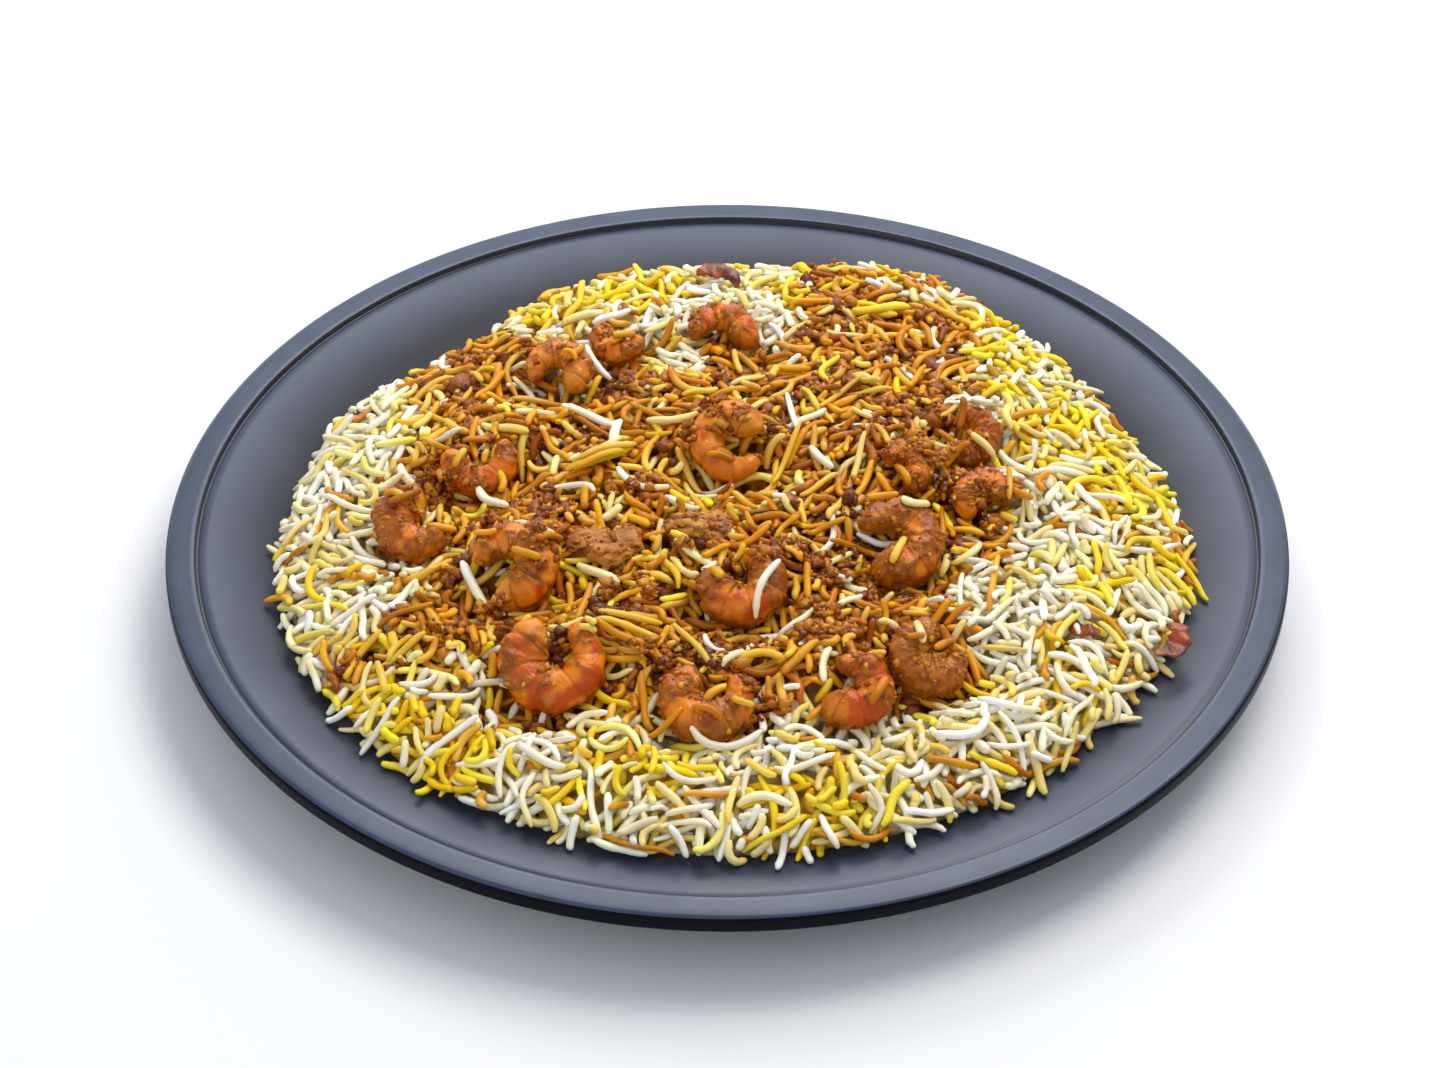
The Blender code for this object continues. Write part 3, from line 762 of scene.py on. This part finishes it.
def build_prawn(name, material):
    """A curled prawn: segmented meat, redder along its back, under a patchy coat of masala."""
    x, y, height, heading, tilt_x, tilt_y, turn, across, thickness, coat, pink, red = PRAWNS[name]
    seed = int(name[-2:]) * 7
    rings, sides = 92, 36
    shares = np.linspace(0.012, 0.985, rings)
    table = np.array(PRAWN_BODY)
    wide = np.interp(shares, table[:, 0], table[:, 1]) * thickness / 2 * PLUMP
    high = np.interp(shares, table[:, 0], table[:, 2]) * thickness / 2 * PLUMP
    place = placed(x, y, height, heading, tilt_x, tilt_y)
    centre, outward = curl(across, thickness, turn + EXTRA_TURN, SPIRAL, shares)
    points, owner, angle = swept_points(place, centre, outward, wide, high, sides)
    middle = moved(centre, place)
    share = shares[owner]
    spoke = points - middle[owner]
    # Each segment swells towards its end and then drops to the next; the back has the vein's shallow groove.
    phase = (share * SEGMENTS + 0.12 * np.sin(angle)) % 1.0
    swell = 0.05 * fade(phase, 0.0, 0.75) - 0.13 * (1 - fade(np.abs(phase - 0.97), 0.0, 0.12))
    swell = swell * fade(share, 0.05, 0.15) * (1 - fade(share, 0.8, 0.86))
    outer = np.cos(angle)
    from_back = (angle + np.pi) % (2 * np.pi) - np.pi
    vein = 0.10 * np.exp(-((from_back / 0.16) ** 2)) * fade(share, 0.1, 0.2) * (share < 0.8)
    belly = -0.1 * fade(-outer, 0.5, 1.0)
    lumps = 0.09 * noise3(points, 4.2, seed) + 0.07 * noise3(points, 1.6, seed + 1)
    cover = noise3(points, 4.5, seed + 2) + 0.7 * noise3(points, 1.6, seed + 3)
    paste = fade(cover + 1.9 * coat - 0.85, -0.15, 0.35)
    grit = np.abs(noise3(points, 1.5, seed + 4)) + 0.5 * np.abs(noise3(points, 0.8, seed + 8))
    crumb = paste * (0.04 + 0.24 * grit)
    points = points + spoke * (swell - vein + belly + lumps + crumb)[:, None]
    orange, deep, tan = srgb("e47e0a"), srgb("c24c04"), srgb("de9e2e")
    rose, brown, dark = srgb("e08a38"), srgb("aa5e08"), srgb("703604")
    flesh = orange + (rose - orange) * pink
    streak = fade(noise3(points, 3.2, seed + 5) + red * 1.3 - 0.5, -0.2, 0.5)[:, None]
    tint = mix(flesh, deep, streak)
    pale = (fade(-outer, 0.0, 0.9) * 0.45 + 0.55 * (1 - fade(share, 0.04, 0.2)))[:, None]
    tint = mix(tint, tan, pale * (1 - red * 0.6))
    groove = (1 - fade(np.abs(phase - 0.97), 0.0, 0.1))[:, None] * 0.5
    tint = mix(tint, deep * 0.7, groove)
    tint = mix(tint, srgb("5a1c18"), (vein * 7)[:, None])
    rust = fade(noise3(points, 2.0, seed + 6), -0.6, 0.9)[:, None]
    paste_tint = mix(dark * 1.3, brown, rust)
    bright = fade(noise3(points, 0.9, seed + 9), 0.0, 0.7)[:, None] * 0.6
    paste_tint = mix(paste_tint, srgb("c87e12"), bright)
    tint = mix(tint, paste_tint, paste[:, None] * 0.85)
    tint *= (1 + 0.12 * noise3(points, 1.2, seed + 7))[:, None]
    upper = points[(spoke[:, 2] > 0.2 * thickness / 2) & (paste > 0.25)]
    if len(upper):
        COATED.append(upper[rng.integers(len(upper), size=int(CRUMBS_EACH * coat))])
    piece(new_mesh(name + "_meat", points, tube_faces(rings, sides), tint), material, "prawn", name)
    return points


def build_flake(name, material):
    """A torn flake: a flattened lump whose fibres run along it, with ragged ends."""
    x, y, height, length, width, thickness, heading = FLAKES[name]
    seed = 300 + int(name[-1]) * 11
    rings, sides = 80, 64
    shares = np.linspace(0.03, 0.97, rings)
    full = np.sqrt(np.clip(1 - np.abs(2 * shares - 1) ** 3.2, 0, 1))
    sway, rise = 1.4 * np.sin(shares * 5 + seed), 0.6 * np.sin(shares * 7)
    centre = np.stack([(shares - 0.5) * length, sway, rise], -1)
    outward = np.tile((0.0, 1.0, 0.0), (rings, 1))
    wide, high = width / 2 * full, thickness / 2 * full
    points, owner, _ = swept_points(np.eye(4), centre, outward, wide, high, sides)
    spoke = points - centre[owner]
    grain = points * np.array((0.16, 1.0, 1.0))
    ridge = 1 - 2 * np.abs(noise3(grain, 1.15, seed)) + 0.5 * noise3(grain, 0.6, seed + 1)
    lump = noise3(points, 5.0, seed + 2) + 0.5 * noise3(points, 2.2, seed + 3)
    points = points + spoke * (0.1 * ridge + 0.3 * lump)[:, None]
    points[:, 0] += 1.6 * noise3(points * np.array((0.1, 1, 1)), 1.8, seed + 4)
    # The tint follows the relief: darker in the creases and hollows, lighter on the crests and lumps. This
    # is painted shade along with the fibres' own streaks.
    tone = fade(ridge + 0.5 * lump, -0.7, 1.2)[:, None]
    tint = mix(srgb("6a320a"), srgb("c98a34"), tone)
    rust = fade(noise3(grain, 1.7, seed + 5), -0.1, 0.5)[:, None] * 0.7
    tint = mix(tint, srgb("a8560f"), rust)
    points = moved(points, placed(x, y, height, heading))
    upper = points[spoke[:, 2] > 0.2 * thickness]
    COATED.append(upper[rng.integers(len(upper), size=CRUMBS_EACH // 2)])
    piece(new_mesh(name + "_meat", points, tube_faces(rings, sides), tint), material, "prawn", name)
    return points


def build_onion(name, material):
    """A strip of fried onion: thin, curled, with wavy edges."""
    x, y, height, heading, tilt, turn, across, breadth, thickness = ONIONS[name]
    seed = 200 + int(name[-1])
    rings, sides = 44, 14
    shares = np.linspace(0.01, 0.99, rings)
    full = np.sin(np.pi * np.clip(shares, 0.03, 0.97)) ** 0.5
    wavy = 1 + 0.28 * noise3(np.stack([shares * 12, shares * 0, shares * 0], -1), 1.0, seed)
    centre, outward = curl(across, breadth, turn, -SPIRAL, shares)
    centre = centre + np.array((0, 0, 1.0)) * (1.1 * np.sin(shares * 9 + seed))[:, None] * 0.7
    place = placed(x, y, height, heading, tilt)
    wide, high = breadth / 2 * full * wavy, thickness / 3.2 * full
    points, *_ = swept_points(place, centre, outward, wide, high, sides)
    points = points + 0.35 * np.stack([noise3(points, 2.0, seed + k) for k in range(3)], -1)
    tone = fade(noise3(points, 2.6, seed + 5), -0.7, 0.8)[:, None]
    tint = mix(srgb("461404"), srgb("a4460e"), tone)
    mesh = new_mesh(name + "_strip", points, tube_faces(rings, sides), tint)
    piece(mesh, material, "fried_onion", name)
    return points


def grains_on_prawns(heights):
    """A few short grains stick across the prawns."""
    grains = []
    for x, y, _, _, _, _, _, across, _, coat, *_ in PRAWNS.values():
        for _ in range(1 + round(3 * coat)):
            away, turn = rng.uniform(0.15, 0.6) * across, rng.uniform(0, 2 * np.pi)
            spot = x + away * math.cos(turn), y + away * math.sin(turn)
            length, bend = rng.uniform(4.5, 10.0), rng.normal(0, 0.8)
            kind = rng.choice(("golden", "golden", "golden", "brown", "pale"))
            grain = lay(heights, *spot, rng.uniform(0, np.pi), length, bend, 0.0, 0.7, 0.0, kind=kind)
            if grain:
                grains.append(grain)
    return grains


CORE_INSET = 3.5  # how far the core stays inside the heap's outline, so that grains make its edge


def build_core(heights, material):
    """The lower rice as one relief, closed at its foot on the plate."""
    rings, steps = ((110, 300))
    turn = circle(steps)
    edge = heap_radius(np.degrees(turn)) - CORE_INSET
    shares = np.linspace(0.012, 1.0, rings)
    x, y = shares[:, None] * edge * np.cos(turn), shares[:, None] * edge * np.sin(turn)
    z = heights[cells(x, y)] - 0.25
    z[-1] = plate_top(np.hypot(x[-1], y[-1])) + 0.1
    points = np.stack([x, y, z], -1).reshape(-1, 3)
    middle = cells(np.zeros(1), np.zeros(1))
    bottom = plate_top(0.0) + 0.1
    points = np.concatenate([points, [(0, 0, heights[middle][0])], [(0, 0, bottom)]])
    faces = tube_faces(rings, steps)
    where = cells(points[:, 0], points[:, 1])
    masala, yellow = MASALA_MAP[where][:, None], YELLOW_MAP[where][:, None]
    mottle = fade(noise3(points, 3.5, 91), -0.7, 0.7)[:, None]
    warm = mix(srgb("7a4410"), srgb("b87a22"), mottle)
    plain = mix(srgb("b39a62"), srgb("e0d2a4"), mottle)
    sunny = mix(srgb("c09420"), srgb("ecc83a"), mottle)
    tint = mix(mix(plain, sunny, yellow), warm, masala)
    piece(new_mesh("rice_core", points, faces, tint), material, "rice", "rice_heap")


def icosahedron():
    """Its twelve corners, at distance 1, and its triangles facing outwards."""
    golden = (1 + 5**0.5) / 2
    corners = []
    for a in (-1, 1):
        for b in (-golden, golden):
            corners += [(0, a, b), (a, b, 0), (b, 0, a)]
    corners = np.array(corners, float)
    corners /= np.linalg.norm(corners[0])
    gaps = np.linalg.norm(corners[:, None] - corners[None], axis=-1)
    side = gaps[gaps > 0.1].min() * 1.01
    near = (gaps > 0.1) & (gaps < side)
    triangles = []
    for i, j, k in itertools.combinations(range(12), 3):
        if near[i, j] and near[j, k] and near[i, k]:
            normal = np.cross(corners[j] - corners[i], corners[k] - corners[i])
            triangles.append((i, j, k) if normal @ corners[i] > 0 else (i, k, j))
    return corners, np.array(triangles)


def crumb_piece(name, centres, sizes, codes, material, seed):
    """Small irregular lumps, each an icosahedron pulled out of shape."""
    corners, triangles = icosahedron()
    count = len(centres)
    local = np.random.default_rng(seed)
    pull = 1 + 0.4 * local.standard_normal((count, 12, 1)).clip(-1.5, 1.8)
    stretch = local.uniform(0.55, 1.7, (count, 1, 3)) * np.array((1, 1, 0.7))
    points = (centres[:, None] + corners * pull * stretch * sizes[:, None, None]).reshape(-1, 3)
    colours = np.stack([srgb(codes[local.integers(len(codes))]) for _ in range(count)])
    colours = colours * local.normal(1, 0.1, (count, 1))
    tint = np.repeat(colours, 12, 0)
    faces = [(triangles[None] + (np.arange(count) * 12)[:, None, None]).reshape(-1, 3)]
    piece(new_mesh(name, points, faces, tint), material, "prawn")


def build_toppings():
    """Prawns, flakes and onion. Gives the height map of what they cover."""
    prawn_flesh = tinted("prawn_flesh", 0.24, specular=0.32, subsurface=0.05, bump=0.5, bump_scale=1100.0)
    flake_flesh = tinted("flake_flesh", 0.42, specular=0.3, bump=0.6)
    onion_skin = tinted("onion_fried", 0.3, bump=0.3)
    covered = np.full((GRID, GRID), -1e3)
    made = [build_prawn(name, prawn_flesh) for name in PRAWNS]
    made += [build_flake(name, flake_flesh) for name in FLAKES]
    made += [build_onion(name, onion_skin) for name in ONIONS]
    for points in made:
        np.maximum.at(covered, cells(points[:, 0], points[:, 1]), points[:, 2])
    return widened(covered)


# Each kind's roughness, specular level and subsurface weight: the more masala, the wetter.
GRAIN_SKINS = {
    "white": (0.45, 0.25, 0.15),
    "pale": (0.45, 0.25, 0.15),
    "yellow": (0.42, 0.22, 0.12),
    "golden": (0.28, 0.22, 0.1),
    "brown": (0.26, 0.22, 0.08),
}
MOST_IN_PIECE = 1800  # grains
BASE_DEPTH = 9.5  # from the heap's top down to where the first layer starts
# Layers of grains, from low to high: laid where the heap lies more than this below its top, most grains, how
# far over the top one may reach, mean length, batches.
CORE_LAYER = (7.2, 2200, -4.9, 13.0, 30)
UNDER_LAYERS = ((4.3, 2400, -1.8, 15.0, 50), (2.5, 2000, -0.1, 15.0, 60))
# The same for those around the prawns, with the chance that a grain runs across one.
TOP_LAYERS = ((1.3, 1900, 1.1, 14.5, 70, 0.12), (1.1, 900, 1.5, 10.0, 50, 0.0))


def build_rice(covered):
    """Lays the rice: lower grains that only shape the core, then the grains that show, layer by layer."""
    grain_skin = {
        kind: tinted(f"rice_{kind}_skin", roughness, specular=specular, subsurface=subsurface)
        for kind, (roughness, specular, subsurface) in GRAIN_SKINS.items()
    }
    heights = np.maximum(np.where(INSIDE, TARGET - BASE_DEPTH, PLATE_LEVEL), PLATE_LEVEL)
    heights = np.where(INSIDE, heights + 0.8 * noise2(GRID_X, GRID_Y, 5.0, 61), heights)
    fill(heights, *CORE_LAYER)
    build_core(heights, tinted("rice_core_skin", 0.6, specular=0.15, bump=0.6))
    scale = 1.0
    grains = []
    for least, wanted, tall, mean_length, batches in UNDER_LAYERS:
        grains += fill(heights, least, wanted * scale, tall, mean_length, batches)
    on_prawn = covered > TARGET - 1.5
    heights = np.where(on_prawn, np.maximum(heights, covered), heights)
    blocked = on_prawn.astype(float)
    for least, wanted, tall, mean_length, batches, cross in TOP_LAYERS:
        grains += fill(heights, least, wanted * scale, tall, mean_length, batches, blocked, cross)
    grains += grains_on_prawns(heights)
    grains += hero_grains(heights)
    for kind in KINDS:
        chosen = [g for g in grains if g.kind == kind]
        parts = max(1, math.ceil(len(chosen) / MOST_IN_PIECE))
        for part in range(parts):
            grain_piece(f"rice_{kind}_{part + 1}", chosen[part::parts], grain_skin[kind])
    return heights


CRUMB_TRIES, CRUMBS = 12000, 3400  # places tried for crumbs, and the lowest of them, which get one
LUMPS, BITS = 170, 14  # lumps of minced masala, and the bits in each


def build_crumbs(heights):
    """Masala paste in the gaps between the grains, and crumbs of it on the prawns."""
    paste = tinted("masala_paste", 0.28, specular=0.34, bump=0.6)
    codes = ("8a4406", "9e5608", "743604", "b26a0e", "803e04", "c47c14")
    dark = ("7c3c06", "6a2e04", "8a480a", "5e2804", "98540c")
    light = ("b0640c", "c27812", "9e540a", "d08e20", "944808")
    spots = np.argwhere((MASALA_MAP > 0.6) & INSIDE)
    rows = spots[rng.integers(len(spots), size=CRUMB_TRIES)]
    clump = noise2(axis[rows[:, 1]], axis[rows[:, 0]], 8.0, 81)
    low = heights[rows[:, 0], rows[:, 1]] - TARGET[rows[:, 0], rows[:, 1]] - 3.0 * clump
    rows = rows[np.argsort(low)[:CRUMBS]]
    sizes = rng.gamma(4.0, 0.24, len(rows)).clip(0.4, 2.3)
    level = heights[rows[:, 0], rows[:, 1]] - 0.35 * sizes
    centres = np.stack([axis[rows[:, 1]], axis[rows[:, 0]], level], -1)
    deep = noise2(centres[:, 0], centres[:, 1], 15.0, 82) > 0.28
    crumb_piece("masala_crumbs", centres[~deep], sizes[~deep], codes, paste, 5)
    crumb_piece("dark_crumbs", centres[deep], sizes[deep] * 1.1, dark, paste, 7)
    rows = spots[rng.integers(len(spots), size=LUMPS * 6)]
    order = np.argsort(-noise2(axis[rows[:, 1]], axis[rows[:, 0]], 12.0, 83))
    rows = rows[order[:LUMPS]]
    middle = np.stack([axis[rows[:, 1]], axis[rows[:, 0]], heights[rows[:, 0], rows[:, 1]] - 0.6], -1)
    spread = rng.normal(0, 1, (LUMPS, BITS, 3)) * np.array((1.25, 1.25, 0.55))
    bits = (middle[:, None] + spread).reshape(-1, 3)
    crumb_piece("masala_lumps", bits, rng.uniform(0.6, 1.25, len(bits)), light + codes, paste, 8)
    stuck = np.concatenate(COATED)
    sizes = rng.gamma(4.0, 0.12, len(stuck)).clip(0.25, 1.1)
    crumb_piece("coat_crumbs", stuck, sizes, light, paste, 6)


def build_floor():
    """A wide pale floor, in metres."""
    mesh = bpy.data.meshes.new("studio_floor")
    reach = 4.0
    corners = [(-reach, -reach, 0), (reach, -reach, 0), (reach, reach, 0), (-reach, reach, 0)]
    mesh.from_pydata(corners, [], [(0, 1, 2, 3)])
    floor = bpy.data.objects.new("studio_floor", mesh)
    bpy.context.scene.collection.objects.link(floor)
    material, _ = principled("floor_white", (0.84, 0.85, 0.88), 0.9)
    floor.data.materials.append(material)


WORLD_COLOUR, WORLD_STRENGTH = (0.88, 0.93, 1.0, 1.0), 0.64
# Lights: name, place, aim and two sizes in metres, radiance, colour.
LIGHTS = (
    ("key", (0.45, 0.45, 1.15), (0, 0, 0), 0.7, 0.7, 6.2, (1.0, 0.965, 0.9)),
    ("fill", (-1.1, -1.3, 1.1), (0, 0, 0), 1.2, 1.2, 1.0, (1.0, 0.99, 0.97)),
    ("back", (0.1, 1.9, 0.7), (0, 0, 0), 3.0, 0.9, 1.2, (0.98, 0.98, 0.99)),
    ("panel", (0.0, 0.62, 0.66), (0, -0.1, 0.0), 0.42, 0.24, 7.0, (1.0, 0.98, 0.95)),
)


def area_light(name, place, aim, size, size_y, radiance, colour):
    """A rectangular soft light of this radiance."""
    data = bpy.data.lights.new(name, "AREA")
    data.shape = "RECTANGLE"
    data.size, data.size_y = size, size_y
    data.energy = radiance * size * size_y * math.pi
    data.color = colour
    light = bpy.data.objects.new(name, data)
    bpy.context.scene.collection.objects.link(light)
    light.location = place
    light.rotation_mode = "QUATERNION"
    light.rotation_quaternion = (Vector(aim) - Vector(place)).to_track_quat("-Z", "Y")


def build_light():
    """The soft surroundings and the lights."""
    world = bpy.data.worlds.new("studio")
    world.use_nodes = True
    set_inputs(world.node_tree.nodes["Background"], {"Color": WORLD_COLOUR, "Strength": WORLD_STRENGTH})
    bpy.context.scene.world = world
    for row in LIGHTS:
        area_light(*row)


# The camera, fitted to the rim's ellipse: its rise in degrees, its distance from the middle of the rim
# in metres, its lens and sensor in mm, and how far it turns off that middle, up and sideways, in radians.
CAMERA_RISE, CAMERA_AWAY = 39.252, 1.0
LENS, SENSOR = 93.12, 36.0
TURN_UP, TURN_ASIDE = -0.003906, -0.001916


def build_camera():
    """Looks down at the plate from the front."""
    rise = math.radians(CAMERA_RISE)
    data = bpy.data.cameras.new("camera")
    data.sensor_width, data.lens = SENSOR, LENS
    camera = bpy.data.objects.new("camera", data)
    bpy.context.scene.collection.objects.link(camera)
    back = Vector((0, -math.cos(rise), math.sin(rise)))
    camera.location = Vector((0, 0, RIM_Z * MM)) + back * CAMERA_AWAY
    right = Vector((1, 0, 0))
    up = right.cross(-back)
    forward = -back * math.cos(TURN_UP) + up * math.sin(TURN_UP)
    forward = (forward * math.cos(TURN_ASIDE) + right * math.sin(TURN_ASIDE)).normalized()
    right = forward.cross(up).normalized()
    up = right.cross(forward)
    camera.rotation_mode = "QUATERNION"
    camera.rotation_quaternion = Matrix((right, up, -forward)).transposed().to_quaternion()
    data.clip_start, data.clip_end = 0.01, 50.0
    bpy.context.scene.camera = camera


def main():
    """Builds the pieces, the light and the camera."""
    bpy.context.scene.view_settings.view_transform = "Standard"
    build_plate()
    covered = build_toppings()
    heights = build_rice(covered)
    build_crumbs(heights)
    build_floor()
    build_light()
    build_camera()


main()
